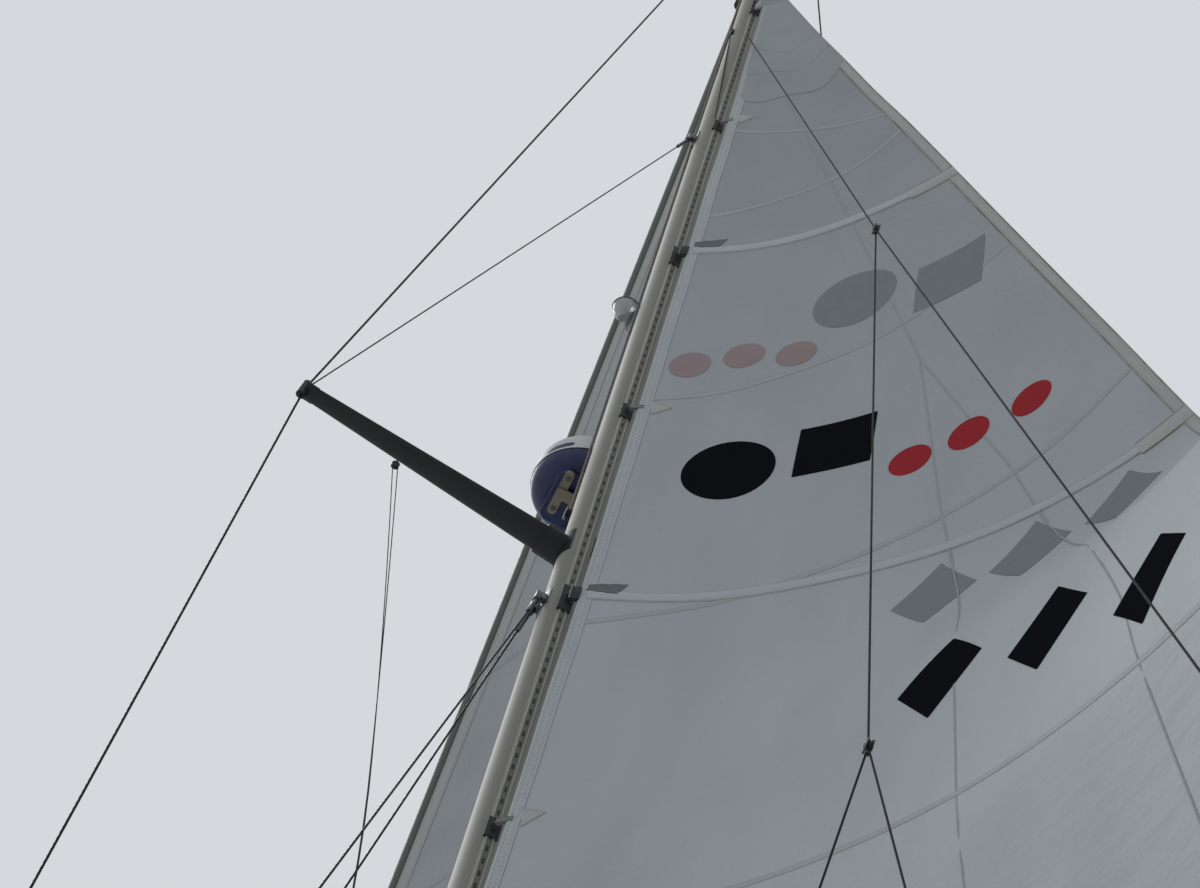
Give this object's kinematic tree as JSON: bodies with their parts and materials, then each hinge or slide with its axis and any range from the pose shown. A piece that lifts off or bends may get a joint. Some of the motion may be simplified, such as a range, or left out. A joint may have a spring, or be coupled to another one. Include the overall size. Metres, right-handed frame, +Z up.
{
  "type": "yacht mast and sail rig",
  "caption": "Sloop rig: oval mast on a heel plate, swept spreaders, wire stays to deck pins, boom with mainsail that swings at the gooseneck, furling headsail, radome and masthead fittings.",
  "frame": {"origin": "middle of the underside of the mast heel plate", "axes": "+X forward to the bow, +Y to port, +Z up the mast"},
  "size_m": [10.0714, 2.8708, 14.2907],
  "materials": {
    "mast_alloy": "satin anodised",
    "boom_alloy": "satin anodised",
    "cast_alloy": "cast and anodised",
    "stainless": "polished stainless steel",
    "wire": "dull stainless strand",
    "black_alloy": "black anodised",
    "black_plastic": "moulded",
    "sailcloth": "woven polyester",
    "white_shell": "smooth",
    "navy_shell": "smooth",
    "lamp_white": "smooth",
    "winch_metal": "polished"
  },
  "bodies": {
    "rig": {"aerial": "black_plastic", "aft_lower_port": "wire", "aft_lower_starboard": "wire", "babystay": "wire", "backstay": "wire", "cap_shroud_port": "wire", "cap_shroud_starboard": "wire", "fore_lower_port": "wire", "fore_lower_starboard": "wire", "forestay": "wire", "furler_drum": "black_plastic", "gooseneck_bracket": "cast_alloy", "halyard_swivel": "black_plastic", "headsail": "sailcloth", "inner_stay_port": "wire", "inner_stay_starboard": "wire", "lamp_bracket": "cast_alloy", "luff_cars": "black_plastic", "luff_foil": "black_alloy", "luff_track": "mast_alloy", "mast_heel": "mast_alloy", "mast_tube": "mast_alloy", "masthead": "cast_alloy", "masthead_light": "lamp_white", "masthead_sheaves": "black_plastic", "radome_base": "navy_shell", "radome_bracket": "cast_alloy", "radome_top": "white_shell", "spreader_bracket_port": "black_alloy", "spreader_bracket_starboard": "black_alloy", "spreader_port": "black_alloy", "spreader_starboard": "black_alloy", "spreader_tip_port": "black_alloy", "spreader_tip_starboard": "black_alloy", "stay_ends_centre": "stainless", "stay_ends_port": "stainless", "stay_ends_starboard": "stainless", "steaming_light": "lamp_white", "tangs": "stainless", "toggles_centre": "stainless", "toggles_port": "stainless", "toggles_starboard": "stainless", "turnbuckles_centre": "stainless", "turnbuckles_port": "stainless", "turnbuckles_starboard": "stainless", "vang_bracket": "cast_alloy", "winch_bases": "cast_alloy"},
    "boom": {"boom_tube": "boom_alloy", "boom_ends": "cast_alloy", "boom_toggles": "cast_alloy", "vang_tube": "cast_alloy", "vang_rod": "cast_alloy", "vang_lug": "cast_alloy", "clew_car": "cast_alloy", "mainsail": "sailcloth", "headboard": "cast_alloy"},
    "winch_port": {"winch_drum_port": "winch_metal"},
    "winch_starboard": {"winch_drum_starboard": "winch_metal"},
    "vane": {"wind_vane": "black_plastic"}
  },
  "joints": [
    {"name": "boom_swing", "type": "hinge", "parent": "rig", "child": "boom", "pos_m": [-0.125, 0, 1.05], "axis": [0, 0, 1], "range_deg": [-56, 4]},
    {"name": "winch_spin_port", "type": "hinge", "parent": "rig", "child": "winch_port", "pos_m": [0, 0.15, 1.43], "axis": [0, 1, 0], "continuous": true},
    {"name": "winch_spin_starboard", "type": "hinge", "parent": "rig", "child": "winch_starboard", "pos_m": [0, -0.15, 1.43], "axis": [0, -1, 0], "continuous": true},
    {"name": "vane_spin", "type": "hinge", "parent": "rig", "child": "vane", "pos_m": [0.126, 0, 13.58], "axis": [0, 0, 1], "continuous": true}
  ]
}
